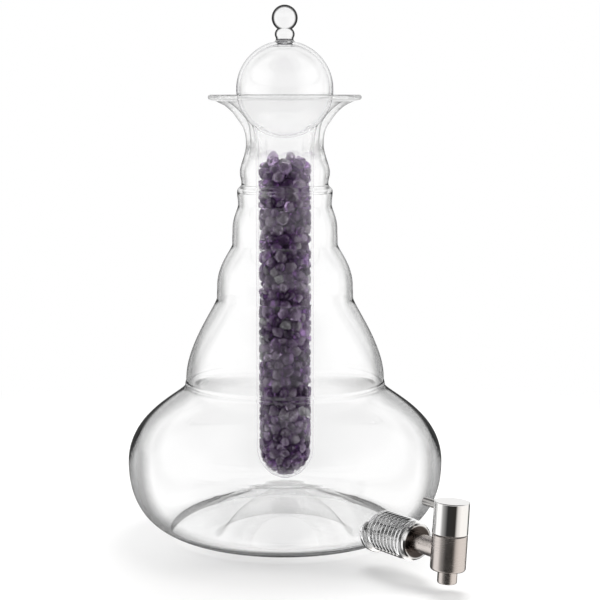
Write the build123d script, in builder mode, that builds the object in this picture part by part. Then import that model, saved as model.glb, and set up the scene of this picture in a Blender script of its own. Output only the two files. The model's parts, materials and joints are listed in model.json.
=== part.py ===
from build123d import *

# Glass water dispenser: a blown flask of stacked bells, a glass vial of gem chips that hangs in its
# mouth from a hollow ball, and a quarter-turn tap in a threaded glass outlet near the foot.
# Millimetres. The origin is on the table, on the flask's axis; +Z is up and the tap faces -Y.

import os
from collections import namedtuple
from math import cos, radians, sin
from random import Random

os.makedirs("parts", exist_ok=True)

# Fits
running_gap = 0.05
rest_gap = 0.3

# Flask: outer radii, and heights above the table
bulb_r = 140.0
bulb_z = 66.0
bulb_run = 47.0
contact_outer_r = 71.0
contact_inner_r = 62.0
foot_run = 40.0
lip_r = 67.0
lip_z = 390.0
lip_fall = 12.0
lip_run = 16.0

# Bells of the flask from the neck down: each has a waist and, under it, a swell where the wall stands
# upright again. A run is how far the curve follows the upright at that ring
Bell = namedtuple("Bell", "waist_r waist_z waist_run swell_r swell_z swell_run")
bells = [
    Bell(34.0, 347.0, 8.5, 39.5, 323.0, 5.5),
    Bell(38.2, 312.5, 3.0, 42.0, 306.0, 3.0),
    Bell(41.2, 294.5, 5.0, 46.2, 272.0, 12.0),
    Bell(46.5, 259.5, 5.0, 60.0, 222.0, 20.0),
    Bell(60.3, 212.0, 6.5, 88.0, 140.0, 30.0),
    Bell(89.0, 134.5, 10.0, bulb_r, bulb_z, 44.0),
]
neck_bells = 2

# Glass thickness, and how far a waist sits lower inside than outside, as a share of the wall
lip_wall = 4.6
seat_wall = 6.0
neck_wall = 3.8
bell_wall = 2.7
bulb_wall = 6.0
waist_drop = 0.5

# Push-up of the base and the valley around it, both on the inside
punt_z = 41.0
punt_run = 30.0
punt_under_run = 38.0
base_wall = 7.0
heel_run = 10.0
heel_rise = 4.0
valley_r = 100.0
valley_z = 10.0
valley_run = 14.0
valley_rise_run = 14.0
bulb_inner_run = 42.0

# Ball head, knob and vial
ball_r = 42.3
ball_z = 394.5
ball_wall = 2.6
seat_angle = 54.0
seat_run = 7.0
knob_r = 11.3
knob_rise = 19.2
knob_stem_r = 6.4
knob_bead_r = 8.6
knob_bead_drop = 5.2
knob_throat_r = 7.6
knob_throat_drop = 8.0
knob_foot_r = 12.5
tube_r = 25.5
tube_wall = 2.8
tube_bottom_z = 46.0
tube_joint_r = 28.8
tube_flare = 26.0

# Chips in the vial. The offsets of their cracks are for a bore of crack_bore_r, and grow with the vial's
fill_top_z = 332.0
fill_gap = 0.4
layer_height = 11.5
layer_tilt = 9.0
layer_sides = 9
crack_bore_r = 22.3
crack_least_offset = 2.7
crack_most_offset = 6.6
crack_swing = 20.0
crack_tilt = 14.0
cracks_per_layer = 3
clear_chip_every = 6
chip_seed = 11

# Outlet: lengths along the spout, and radii about the spout's axis
outlet_z = 31.0
outlet_bore_r = 10.2
outlet_sink = 35.0
collar_inset = 9.5
collar_width = 5.0
collar_r = 19.5
sleeve_r = 15.6
thread_r = 17.0
thread_pitch = 4.5
thread_turns = 8
rim_width = 1.6
rim_r = 16.8

# Tap fastening in the outlet
gasket_thick = 1.2
flange_r = 15.0
flange_thick = 3.5
flange_bevel = 1.2
flange_dish = 1.5
shank_r = 6.0
stem_r = 7.75
stem_spigot_r = 5.5
channel_r = 3.6
bung_length = 31.0
bung_rib = 0.8
bung_rib_width = 5.0
bung_ribs = 3
washer_thick = 1.5
nut_across = 15.0
nut_thick = 7.0
shank_tail = 2.5

# Tap: heights along the tap's axis from the stem's axis, and radii about the tap's axis
stem_length = 23.1
tap_twist = 4.0
barrel_r = 14.2
barrel_bottom = -13.7
barrel_top = 15.0
barrel_edge = 2.2
seam_gap = 0.6
cap_top = 41.3
cap_edge = 0.9
seam_edge = 0.4
chamber_r = 8.6
chamber_floor = -7.5
seat_thick = 1.0
plug_top = 8.5
seal_half = 0.8
seal_offset = 5.2
slot_width = 3.0
slot_depth = 2.8
spindle_r = 4.0
spindle_collar_r = 6.2
spindle_collar_thick = 2.0
spindle_top = 38.0
spindle_flat = 0.8
gland_r = 10.6
gland_thick = 4.2
nozzle_r = 7.9
nozzle_length = 10.7
nozzle_edge = 1.5
nozzle_bore_r = 4.0
nozzle_thread_r = 6.4
nozzle_thread_length = 3.7
nozzle_seal_thick = 1.0
lever_r = 3.5
lever_drop = 6.4
lever_reach = 18.0
lever_edge = 0.8

# Places that follow from the sizes
neck = bells[0]
bulb_top = bells[-1]
knob_z = ball_z + ball_r + knob_rise
outlet_root = bulb_r - outlet_sink
collar_start = bulb_r - collar_inset
outlet_end = collar_start + collar_width + thread_pitch * thread_turns + rim_width + thread_pitch
flange_back = outlet_end + gasket_thick
flange_front = flange_back + flange_thick
tap_reach = flange_front + stem_length + barrel_r
bung_start = outlet_end - bung_length
washer_start = bung_start - washer_thick
nut_start = washer_start - nut_thick
shank_start = nut_start - shank_tail
spigot_end = tap_reach - chamber_r - 2 * running_gap
cap_bottom = barrel_top + seam_gap
lever_height = cap_top - lever_drop
plug_bottom = chamber_floor + seat_thick
spindle_collar_z = plug_top + running_gap
gland_z = spindle_collar_z + spindle_collar_thick + running_gap
fill_r = tube_r - tube_wall - fill_gap
fill_bottom_z = tube_bottom_z + tube_wall + fill_gap
tube_round_z = tube_bottom_z + tube_r

# Section planes: local x runs out along the spout or out from the tap's axis, local y runs up
outlet_section = Plane(origin=(0, 0, outlet_z), x_dir=(0, -1, 0), z_dir=(-1, 0, 0))
outlet_axis = Axis((0, 0, outlet_z), (0, -1, 0))
tap_origin = Vector(0, -tap_reach, outlet_z)
tap_up = Vector(sin(radians(tap_twist)), 0, cos(radians(tap_twist)))
tap_section = Plane(origin=tap_origin, x_dir=(0, -1, 0), z_dir=Vector(0, -1, 0).cross(tap_up))
tap_axis = Axis(tap_origin, tap_up)


def tap_level(height):
    """Plane across the tap's axis: local x points away from the flask"""
    return Plane(origin=tap_origin + tap_up * height, x_dir=(0, -1, 0), z_dir=tap_up)


def seat_point(wall):
    """Point on the mouth's seat, wall deep under the surface that the ball rests on"""
    reach = ball_r + rest_gap + wall
    return Vector(reach * sin(radians(seat_angle)), ball_z - reach * cos(radians(seat_angle)))


def mouth_curves(lip_point, wall, neck_inset):
    """Flare from the lip down to the ball's seat, then into the neck's waist"""
    lip_way = Vector(-cos(radians(lip_fall)), -sin(radians(lip_fall)))
    seat_way = Vector(cos(radians(seat_angle)), sin(radians(seat_angle)))
    seat = seat_point(wall)
    waist = waist_point(neck, neck_inset)
    return [
        Bezier(lip_point, lip_point + lip_way * lip_run, seat + seat_way * seat_run, seat),
        Bezier(seat, seat - seat_way * seat_run, waist + Vector(0, neck.waist_run), waist),
    ]


def waist_point(bell, inset):
    return Vector(bell.waist_r - inset, bell.waist_z - waist_drop * inset)


def bell_curve(bell, waist_inset, swell_inset):
    """One bell from its waist to its swell, set in from the outer surface"""
    waist = waist_point(bell, waist_inset)
    swell = Vector(bell.swell_r - swell_inset, bell.swell_z)
    return Bezier(waist, waist - Vector(0, bell.waist_run), swell + Vector(0, bell.swell_run), swell)


def tuck_curve(bell, bell_below, inset):
    """Short stretch from one bell's swell into the waist of the bell below"""
    swell = Vector(bell.swell_r - inset, bell.swell_z)
    waist = waist_point(bell_below, inset)
    half = Vector(0, (swell.Y - waist.Y) / 2)
    return Bezier(swell, swell - half, waist + half, waist)


def wall_curves(rows, waist_insets, swell_insets):
    """The wall of some neighbouring bells, from the top one's waist to the lowest one's swell"""
    swells = [bell_curve(*row) for row in zip(rows, waist_insets, swell_insets)]
    tucks = [tuck_curve(*row) for row in zip(rows, rows[1:], swell_insets)]
    return swells + tucks


def foot_curve():
    """Outer surface from the bulb's widest ring to the ring that stands on the table"""
    widest = Vector(bulb_r, bulb_z)
    contact = Vector(contact_outer_r, 0)
    return Bezier(widest, widest - Vector(0, bulb_run), contact + Vector(foot_run, 0), contact)


def glass_section(outline):
    """Faces within a closed outline. It is made outside a builder, which would join its tangent curves"""
    return (Plane.XZ * make_face(outline)).faces()


# Flask: one blown wall of glass from lip to push-up, kept as seven stacked rings so its hollow stays open
lip_top = Vector(lip_r - lip_wall / 2, lip_z)
lip_under = lip_top - Vector(0, lip_wall)
mouth_section = glass_section([
    ThreePointArc(lip_top, (lip_r, lip_z - lip_wall / 2), lip_under),
    *mouth_curves(lip_under, seat_wall, 0),
    Line(waist_point(neck, 0), waist_point(neck, neck_wall)),
    *mouth_curves(lip_top, 0, neck_wall),
])
with BuildPart() as flask_mouth:
    revolve(mouth_section, axis=Axis.Z, clean=False)
flask_mouth.part.label = "flask_mouth"


def bell_section(rows, row_below, top_inset):
    """Section of some bells, from the top one's waist to the waist of the bell below"""
    outer_insets = [0] * len(rows)
    inner_insets = [bell_wall] * len(rows)
    return glass_section([
        Line(waist_point(rows[0], top_inset), waist_point(rows[0], 0)),
        *wall_curves(rows, outer_insets, outer_insets),
        tuck_curve(rows[-1], row_below, 0),
        Line(waist_point(row_below, 0), waist_point(row_below, bell_wall)),
        tuck_curve(rows[-1], row_below, bell_wall),
        *wall_curves(rows, [top_inset] + inner_insets[1:], inner_insets),
    ])


neck_section = bell_section(bells[:neck_bells], bells[neck_bells], neck_wall)
with BuildPart() as flask_neck:
    revolve(neck_section, axis=Axis.Z, clean=False)
flask_neck.part.label = "flask_neck"

middle_section = bell_section(bells[neck_bells:-3], bells[-3], bell_wall)
with BuildPart() as flask_bell:
    revolve(middle_section, axis=Axis.Z, clean=False)
flask_bell.part.label = "flask_bell"

shoulder_section = bell_section(bells[-3:-1], bulb_top, bell_wall)
with BuildPart() as flask_shoulder:
    revolve(shoulder_section, axis=Axis.Z, clean=False)
flask_shoulder.part.label = "flask_shoulder"

bulb_outer = Vector(bulb_r, bulb_z)
bulb_inner = Vector(bulb_r - bulb_wall, bulb_z)
bulb_section = glass_section([
    Line(waist_point(bulb_top, bell_wall), waist_point(bulb_top, 0)),
    bell_curve(bulb_top, 0, 0),
    Line(bulb_outer, bulb_inner),
    bell_curve(bulb_top, bell_wall, bulb_wall),
])
with BuildPart() as flask_bulb:
    revolve(bulb_section, axis=Axis.Z, clean=False)
flask_bulb.part.label = "flask_bulb"

contact = Vector(contact_outer_r, 0)
valley = Vector(valley_r, valley_z)
bowl_section = glass_section([
    Line(bulb_inner, bulb_outer),
    foot_curve(),
    Line(contact, valley),
    Bezier(valley, valley + Vector(valley_rise_run, 0), bulb_inner - Vector(0, bulb_inner_run), bulb_inner),
])
with BuildPart() as flask_bowl:
    revolve(bowl_section, axis=Axis.Z, clean=False)
    with BuildSketch(Plane.XZ.offset(outlet_root)):
        with Locations((0, outlet_z)):
            Circle(outlet_bore_r)
    extrude(amount=bulb_r - outlet_root, clean=False, mode=Mode.SUBTRACT)
flask_bowl.part.label = "flask_bowl"

heel = Vector(contact_inner_r, 0)
punt_under = Vector(0, punt_z - base_wall)
punt_over = Vector(0, punt_z)
base_section = glass_section([
    Line(contact, heel),
    Bezier(heel, heel + Vector(-heel_run, heel_rise), punt_under + Vector(punt_under_run, 0), punt_under),
    Line(punt_under, punt_over),
    Bezier(punt_over, punt_over + Vector(punt_run, 0), valley - Vector(valley_run, 0), valley),
    Line(valley, contact),
])
with BuildPart() as flask_base:
    revolve(base_section, axis=Axis.Z, clean=False)
flask_base.part.label = "flask_base"

# Space that the bulb fills, to shape what is fused on it
shoulder = waist_point(bulb_top, 0)
core_section = glass_section([
    bell_curve(bulb_top, 0, 0),
    foot_curve(),
    Line(contact, (0, 0)),
    Line((0, 0), (0, shoulder.Y)),
    Line((0, shoulder.Y), shoulder),
])
with BuildPart() as bulb_core:
    revolve(core_section, axis=Axis.Z, clean=False)

# Threaded glass outlet, fused on the bulb
with BuildPart() as outlet_neck:
    with BuildSketch(outlet_section):
        with BuildLine():
            collar_end = collar_start + collar_width
            Polyline(
                (collar_end, sleeve_r),
                (collar_end, collar_r),
                (collar_start, collar_r),
                (collar_start, sleeve_r),
                (outlet_root, sleeve_r),
                (outlet_root, outlet_bore_r),
                (outlet_end, outlet_bore_r),
                (outlet_end, rim_r),
                (outlet_end - rim_width, rim_r),
                (outlet_end - rim_width, sleeve_r),
            )
            thread_start = collar_end + thread_pitch / 2
            for turn in range(thread_turns):
                ridge = thread_start + turn * thread_pitch
                crest = ridge + thread_pitch / 2
                Polyline((ridge, sleeve_r), (crest, thread_r), (ridge + thread_pitch, sleeve_r))
            Line((collar_end, sleeve_r), (thread_start, sleeve_r))
            Line((thread_start + thread_turns * thread_pitch, sleeve_r), (outlet_end - rim_width, sleeve_r))
        make_face()
    revolve(axis=outlet_axis)
    add(bulb_core.part, mode=Mode.SUBTRACT)
outlet_neck.part.label = "outlet_neck"

# Hollow ball that closes the mouth
with BuildPart() as ball_head:
    with Locations((0, 0, ball_z)):
        Sphere(ball_r)
        Sphere(ball_r - ball_wall, mode=Mode.SUBTRACT)
ball_head.part.label = "ball_head"

# Solid ball knob on a ringed stem that spreads onto the ball head
with BuildPart() as knob:
    with BuildSketch(Plane.XZ):
        with BuildLine():
            top = Vector(0, knob_z + knob_r)
            stem_z = knob_z - (knob_r**2 - knob_stem_r**2) ** 0.5
            foot_z = ball_z + (ball_r**2 - knob_foot_r**2) ** 0.5
            stem = Vector(knob_stem_r, stem_z)
            throat = Vector(knob_throat_r, stem_z - knob_throat_drop)
            foot = Vector(knob_foot_r, foot_z)
            ThreePointArc(top, (knob_r, knob_z), stem)
            ThreePointArc(stem, (knob_bead_r, stem_z - knob_bead_drop), throat)
            Bezier(throat, (knob_throat_r, foot_z), foot)
            Polyline(foot, (knob_foot_r, ball_z), (0, ball_z), top)
        make_face()
    revolve(axis=Axis.Z)
    with Locations((0, 0, ball_z)):
        Sphere(ball_r, mode=Mode.SUBTRACT)
knob.part.label = "knob"

# Gem vial: round-bottomed tube, and the flared shoulder that joins it to the ball
joint_z = ball_z - (ball_r**2 - tube_joint_r**2) ** 0.5
flare_z = joint_z - tube_flare
tube_inner_r = tube_r - tube_wall
with BuildPart() as vial_tube:
    with BuildSketch(Plane.XZ):
        with BuildLine():
            bottom = Vector(0, tube_bottom_z)
            inner_bottom = Vector(0, tube_bottom_z + tube_wall)
            RadiusArc(bottom, (tube_r, tube_round_z), -tube_r)
            Polyline(
                (tube_r, tube_round_z),
                (tube_r, flare_z),
                (tube_inner_r, flare_z),
                (tube_inner_r, tube_round_z),
            )
            RadiusArc((tube_inner_r, tube_round_z), inner_bottom, tube_inner_r)
            Line(inner_bottom, bottom)
        make_face()
    revolve(axis=Axis.Z)
vial_tube.part.label = "vial_tube"

with BuildPart() as vial_shoulder:
    with BuildSketch(Plane.XZ):
        with BuildLine():
            bend_z = joint_z - tube_flare / 3
            over_z = ball_z - ball_r / 2
            joint_inner_r = tube_joint_r - tube_wall
            Bezier((tube_r, flare_z), (tube_r, bend_z), (tube_joint_r, joint_z))
            Polyline(
                (tube_joint_r, joint_z),
                (tube_joint_r, over_z),
                (joint_inner_r, over_z),
                (joint_inner_r, joint_z),
            )
            Bezier((joint_inner_r, joint_z), (tube_inner_r, bend_z), (tube_inner_r, flare_z))
            Line((tube_inner_r, flare_z), (tube_r, flare_z))
        make_face()
    revolve(axis=Axis.Z)
    with Locations((0, 0, ball_z)):
        Sphere(ball_r, mode=Mode.SUBTRACT)
vial_shoulder.part.label = "vial_shoulder"


# Space in the vial's round end, wide open above it
with BuildPart() as vial_end:
    with Locations((0, 0, tube_round_z)):
        Sphere(fill_r)
        Cylinder(2 * fill_r, fill_top_z, align=(Align.CENTER, Align.CENTER, Align.MIN))


# Chips: tilted layers of the vial's bore, each cracked into a few loose stones
def chip_layer(low, high, rng):
    """Stones between two tilted planes, cracked by thin tilted cuts round the middle"""
    turn = rng.uniform(0, 360)
    with BuildPart() as layer:
        with BuildSketch(Plane.XY.offset(low.origin.Z - layer_height)):
            RegularPolygon(fill_r, layer_sides, rotation=turn)
        extrude(amount=high.origin.Z - low.origin.Z + 2 * layer_height)
        split(bisect_by=low, keep=Keep.TOP)
        split(bisect_by=high.offset(-fill_gap), keep=Keep.BOTTOM)
        add(vial_end.part, mode=Mode.INTERSECT)
        for crack in range(cracks_per_layer):
            angle = radians(turn + 360 / cracks_per_layer * crack + rng.uniform(-crack_swing, crack_swing))
            offset = rng.uniform(crack_least_offset, crack_most_offset) * fill_r / crack_bore_r
            middle = Vector(offset * cos(angle), offset * sin(angle), low.origin.Z + layer_height / 2)
            lean = sin(radians(rng.uniform(-crack_tilt, crack_tilt)))
            along = (-sin(angle), cos(angle), 0)
            across = Plane(origin=middle, x_dir=along, z_dir=(cos(angle), sin(angle), lean))
            with BuildSketch(across.offset(-fill_gap / 2)):
                Rectangle(4 * fill_r, 4 * layer_height)
            extrude(amount=fill_gap, mode=Mode.SUBTRACT)
    return layer.part.solids()


rng = Random(chip_seed)
layer_count = int((fill_top_z - fill_bottom_z) / layer_height)
chip_planes = []
for level in range(layer_count + 1):
    heading = radians(rng.uniform(0, 360))
    slope = sin(radians(rng.uniform(0, layer_tilt)))
    normal = (slope * cos(heading), slope * sin(heading), 1)
    chip_planes.append(Plane(origin=(0, 0, fill_bottom_z + level * layer_height), z_dir=normal))
chips = []
for low, high in zip(chip_planes, chip_planes[1:]):
    chips += chip_layer(low, high, rng)

# Counted from the top, the middle one of every so many chips is clear
places = range(len(chips))[::-1]
clear_place = clear_chip_every // 2
with BuildPart() as clear_chips:
    add([chip for place, chip in zip(places, chips) if place % clear_chip_every == clear_place])
clear_chips.part.label = "clear_chips"

with BuildPart() as purple_chips:
    add([chip for place, chip in zip(places, chips) if place % clear_chip_every != clear_place])
purple_chips.part.label = "purple_chips"


# Seals and fasteners that hold the tap in the outlet
def outlet_ring(start, end, inner_r, outer_r, mode=Mode.ADD):
    """Ring about the spout's axis, between two distances from the flask's axis"""
    with BuildSketch(outlet_section) as section:
        with Locations(((start + end) / 2, (inner_r + outer_r) / 2)):
            Rectangle(end - start, outer_r - inner_r)
    revolve(section.sketch.faces(), axis=outlet_axis, mode=mode)


def tap_ring(low, high, inner_r, outer_r, mode=Mode.ADD):
    """Ring about the tap's axis, between two heights"""
    with BuildSketch(tap_section) as section:
        with Locations(((inner_r + outer_r) / 2, (low + high) / 2)):
            Rectangle(outer_r - inner_r, high - low)
    revolve(section.sketch.faces(), axis=tap_axis, mode=mode)


with BuildPart() as flange_gasket:
    outlet_ring(outlet_end, flange_back, shank_r + running_gap, flange_r)
flange_gasket.part.label = "flange_gasket"

# Flange: bevelled rim and a dished face that the stem's shoulder sits in
with BuildPart() as tap_flange:
    with BuildSketch(outlet_section):
        with BuildLine():
            Polyline(
                (flange_back, shank_r + running_gap),
                (flange_back, flange_r),
                (flange_front - flange_bevel, flange_r),
                (flange_front, flange_r - flange_bevel),
                (flange_front - flange_dish, stem_r + flange_bevel),
                (flange_front - flange_dish, shank_r + running_gap),
                close=True,
            )
        make_face()
    revolve(axis=outlet_axis)
tap_flange.part.label = "tap_flange"

# Shank: thin through the outlet, full size as the stem, with a spigot into the barrel's side
with BuildPart() as shank:
    outlet_ring(shank_start, flange_front, channel_r, shank_r)
    outlet_ring(flange_front - flange_dish, tap_reach - stem_r, channel_r, stem_r)
    tap_ring(barrel_bottom, barrel_top, 0, barrel_r, mode=Mode.SUBTRACT)
    outlet_ring(flange_front, spigot_end, channel_r, stem_spigot_r)
shank.part.label = "shank"

# Silicone bung with sealing ribs that the nut squeezes in the glass bore
with BuildPart() as bung:
    bung_outer_r = outlet_bore_r - running_gap
    outlet_ring(bung_start, outlet_end, shank_r + running_gap, bung_outer_r - bung_rib)
    rib_step = (bung_length - bung_rib_width) / (bung_ribs - 1)
    for rib in range(bung_ribs):
        rib_start = bung_start + rib * rib_step
        outlet_ring(rib_start, rib_start + bung_rib_width, shank_r + running_gap, bung_outer_r)
bung.part.label = "bung"

with BuildPart() as bung_washer:
    outlet_ring(washer_start, bung_start, shank_r + running_gap, bung_outer_r - bung_rib)
bung_washer.part.label = "bung_washer"

with BuildPart() as shank_nut:
    with BuildSketch(Plane(origin=(0, -nut_start, outlet_z), z_dir=(0, -1, 0))):
        RegularPolygon(nut_across / 2, 6, major_radius=False)
        Circle(shank_r + running_gap, mode=Mode.SUBTRACT)
    extrude(amount=nut_thick)
shank_nut.part.label = "shank_nut"

# Tap barrel: a chamber for the plug, a threaded port for the nozzle and a port for the shank
with BuildPart() as tap_barrel:
    tap_ring(barrel_bottom, barrel_top, 0, barrel_r)
    fillet(tap_barrel.edges().sort_by(tap_axis)[0], barrel_edge)
    chamfer(tap_barrel.edges().sort_by(tap_axis)[-1], seam_edge)
    nozzle_port_top = barrel_bottom + nozzle_thread_length + nozzle_seal_thick
    tap_ring(barrel_bottom, nozzle_port_top, 0, nozzle_thread_r + running_gap, mode=Mode.SUBTRACT)
    tap_ring(nozzle_port_top, chamber_floor, 0, nozzle_bore_r, mode=Mode.SUBTRACT)
    tap_ring(chamber_floor, gland_z, 0, chamber_r, mode=Mode.SUBTRACT)
    tap_ring(gland_z, barrel_top, 0, gland_r + running_gap, mode=Mode.SUBTRACT)
    outlet_ring(tap_reach - barrel_r, spigot_end, 0, stem_spigot_r + running_gap, mode=Mode.SUBTRACT)
    outlet_ring(spigot_end, tap_reach, 0, channel_r, mode=Mode.SUBTRACT)
tap_barrel.part.label = "tap_barrel"

with BuildPart() as nozzle:
    tap_ring(barrel_bottom - nozzle_length, barrel_bottom, nozzle_bore_r, nozzle_r)
    fillet(nozzle.edges().group_by(tap_axis)[0].sort_by(SortBy.RADIUS)[-1], nozzle_edge)
    tap_ring(barrel_bottom, barrel_bottom + nozzle_thread_length, nozzle_bore_r, nozzle_thread_r)
nozzle.part.label = "nozzle"

with BuildPart() as nozzle_seal:
    nozzle_seal_low = barrel_bottom + nozzle_thread_length
    tap_ring(nozzle_seal_low, nozzle_port_top, nozzle_bore_r, nozzle_thread_r)
nozzle_seal.part.label = "nozzle_seal"

# Rotary valve: at rest the plug's side port faces along the barrel's wall, a quarter turn from the shank
with BuildPart() as plug_seat:
    tap_ring(chamber_floor, plug_bottom, nozzle_bore_r, chamber_r - running_gap)
plug_seat.part.label = "plug_seat"

plug_r = chamber_r - running_gap
groove_half = seal_half + running_gap
seal_heights = (-seal_offset, seal_offset)
with BuildPart() as valve_plug:
    tap_ring(plug_bottom, plug_top, 0, plug_r)
    tap_ring(plug_bottom, channel_r, 0, channel_r, mode=Mode.SUBTRACT)
    with BuildSketch(Plane(origin=tap_origin, x_dir=(0, -1, 0), z_dir=-tap_section.z_dir)):
        Circle(channel_r)
    extrude(amount=chamber_r, mode=Mode.SUBTRACT)
    with BuildSketch(tap_level(plug_top - slot_depth)):
        Rectangle(2 * spindle_collar_r, slot_width)
    extrude(amount=slot_depth, mode=Mode.SUBTRACT)
    for height in seal_heights:
        groove_r = plug_r - 2 * groove_half
        tap_ring(height - groove_half, height + groove_half, groove_r, chamber_r, mode=Mode.SUBTRACT)
valve_plug.part.label = "valve_plug"

with BuildPart() as plug_seals:
    for height in seal_heights:
        tap_ring(height - seal_half, height + seal_half, plug_r - 2 * seal_half, plug_r)
plug_seals.part.label = "plug_seals"

# Spindle: a tang in the plug's slot, a collar under the gland and a flat for the lever
with BuildPart() as spindle:
    with BuildSketch(tap_level(plug_top - slot_depth + running_gap)):
        Rectangle(2 * (spindle_collar_r - running_gap), slot_width - 2 * running_gap)
    extrude(amount=slot_depth)
    tap_ring(spindle_collar_z, spindle_collar_z + spindle_collar_thick, 0, spindle_collar_r)
    tap_ring(spindle_collar_z, spindle_top, 0, spindle_r)
    with BuildSketch(tap_level(lever_height - lever_r)):
        with Locations((-spindle_r, 0)):
            Rectangle(2 * spindle_flat, 2 * spindle_r)
    extrude(amount=spindle_top - lever_height + lever_r, mode=Mode.SUBTRACT)
spindle.part.label = "spindle"

gland_bore_r = spindle_r + running_gap
gland_seal_z = gland_z + gland_thick / 2
with BuildPart() as gland:
    tap_ring(gland_z, gland_z + gland_thick, gland_bore_r, gland_r)
    groove_r = gland_bore_r + 2 * groove_half
    tap_ring(gland_seal_z - groove_half, gland_seal_z + groove_half, spindle_r, groove_r, mode=Mode.SUBTRACT)
gland.part.label = "gland"

with BuildPart() as spindle_seal:
    tap_ring(gland_seal_z - seal_half, gland_seal_z + seal_half, gland_bore_r, gland_bore_r + 2 * seal_half)
spindle_seal.part.label = "spindle_seal"

# Turning cap with its lever, which screws in against the spindle's flat
lever_plane = Plane(origin=tap_origin + tap_up * lever_height, x_dir=(-1, 0, 0), z_dir=(0, 1, 0))
with BuildPart() as tap_cap:
    tap_ring(cap_bottom, cap_top, 0, barrel_r)
    fillet(tap_cap.edges().sort_by(tap_axis)[-1], cap_edge)
    chamfer(tap_cap.edges().sort_by(tap_axis)[0], seam_edge)
    tap_ring(cap_bottom, spindle_top + running_gap, 0, spindle_r + running_gap, mode=Mode.SUBTRACT)
    with BuildSketch(lever_plane):
        Circle(lever_r + running_gap)
    extrude(amount=barrel_r, mode=Mode.SUBTRACT)
tap_cap.part.label = "tap_cap"

lever_start = spindle_r - spindle_flat + running_gap
with BuildPart() as lever:
    with BuildSketch(lever_plane.offset(lever_start)):
        Circle(lever_r)
    extrude(amount=barrel_r + lever_reach - lever_start)
    fillet(lever.edges().sort_by(Axis.Y)[-1], lever_edge)
lever.part.label = "lever"

pieces = [
    flask_mouth, flask_neck, flask_bell, flask_shoulder, flask_bulb, flask_bowl, flask_base, outlet_neck,
    ball_head, knob, vial_shoulder, vial_tube, purple_chips, clear_chips,
    flange_gasket, tap_flange, shank, bung, bung_washer, shank_nut,
    tap_barrel, nozzle, nozzle_seal, plug_seat, valve_plug, plug_seals,
    spindle, spindle_seal, gland, tap_cap, lever,
]
for piece in pieces:
    export_step(piece.part, f"parts/{piece.part.label}.step")
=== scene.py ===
import json
from collections import namedtuple
from math import atan2, cos, pi, radians, sin, sqrt

import bpy
import numpy as np
from mathutils import Matrix, Vector


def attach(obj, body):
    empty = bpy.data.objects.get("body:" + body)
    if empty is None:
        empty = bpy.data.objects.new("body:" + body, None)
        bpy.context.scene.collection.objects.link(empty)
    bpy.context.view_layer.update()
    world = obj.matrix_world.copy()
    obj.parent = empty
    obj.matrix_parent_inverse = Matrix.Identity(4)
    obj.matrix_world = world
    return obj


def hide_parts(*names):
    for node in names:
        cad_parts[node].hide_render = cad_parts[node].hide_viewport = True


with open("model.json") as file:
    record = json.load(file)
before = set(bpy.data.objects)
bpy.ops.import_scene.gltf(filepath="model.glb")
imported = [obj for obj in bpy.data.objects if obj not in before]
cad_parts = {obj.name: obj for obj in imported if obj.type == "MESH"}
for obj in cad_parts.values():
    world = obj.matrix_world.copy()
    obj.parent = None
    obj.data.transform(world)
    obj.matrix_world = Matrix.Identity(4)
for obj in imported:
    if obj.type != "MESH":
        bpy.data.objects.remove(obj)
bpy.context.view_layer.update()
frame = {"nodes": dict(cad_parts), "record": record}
nodes = frame["nodes"]
MM = 0.001

# Sizes of the glass in millimetres. They follow the part's source, but the tube's wall is thinner here
BULB_R, BULB_Z, BULB_RUN = 140.0, 66.0, 47.0
CONTACT_OUTER_R, CONTACT_INNER_R, FOOT_RUN = 71.0, 62.0, 40.0
LIP_R, LIP_Z, LIP_FALL, LIP_RUN = 67.0, 390.0, 12.0, 16.0
# Bells from the neck down, each with a waist and a swell; a run is how far a curve keeps upright there
Bell = namedtuple("Bell", "waist_r waist_z waist_run swell_r swell_z swell_run")
BELLS = [
    Bell(34.0, 347.0, 8.5, 39.5, 323.0, 5.5),
    Bell(38.2, 312.5, 3.0, 42.0, 306.0, 3.0),
    Bell(41.2, 294.5, 5.0, 46.2, 272.0, 12.0),
    Bell(46.5, 259.5, 5.0, 60.0, 222.0, 20.0),
    Bell(60.3, 212.0, 6.5, 88.0, 140.0, 30.0),
    Bell(89.0, 134.5, 10.0, BULB_R, BULB_Z, 44.0),
]
LIP_WALL, SEAT_WALL, NECK_WALL, BELL_WALL, BULB_WALL = 4.6, 6.0, 3.8, 2.7, 6.0
WAIST_DROP = 0.5
EASE_REACH, THIN_WALL = 7.0, 1.8
PUNT_Z, PUNT_RUN, PUNT_UNDER_RUN, BASE_WALL = 41.0, 30.0, 38.0, 7.0
HEEL_RUN, HEEL_RISE = 10.0, 4.0
VALLEY_R, VALLEY_Z, VALLEY_RUN, VALLEY_RISE_RUN, BULB_INNER_RUN = 100.0, 10.0, 14.0, 14.0, 42.0
BALL_R, BALL_Z, BALL_WALL, REST_GAP = 42.3, 394.5, 2.6, 0.3
SEAT_ANGLE, SEAT_RUN = radians(54.0), 7.0
KNOB_R, KNOB_Z, KNOB_STEM_R = 11.3, 456.0, 6.4
KNOB_BEAD_R, KNOB_BEAD_DROP = 8.6, 5.2
KNOB_THROAT_R, KNOB_THROAT_DROP, KNOB_FOOT_R = 7.6, 8.0, 12.5
TUBE_R, TUBE_WALL, TUBE_BOTTOM_Z = 25.5, 2.0, 46.0
TUBE_JOINT_R, TUBE_FLARE = 28.8, 26.0
OUTLET_Z, OUTLET_BORE_R, OUTLET_END = 31.0, 10.2, 177.6
SPOUT_START, BORE_START, BORE_END = 100.0, 95.0, 185.0
COLLAR_START, COLLAR_END, COLLAR_R, COLLAR_EDGE = 130.5, 135.5, 19.5, 1.2
SLEEVE_R, THREAD_R, THREAD_PITCH = 15.6, 17.0, 4.5
THREAD_LEAD, THREAD_STEP, THREAD_ROUND = 0.2, 0.3, 0.8
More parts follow.
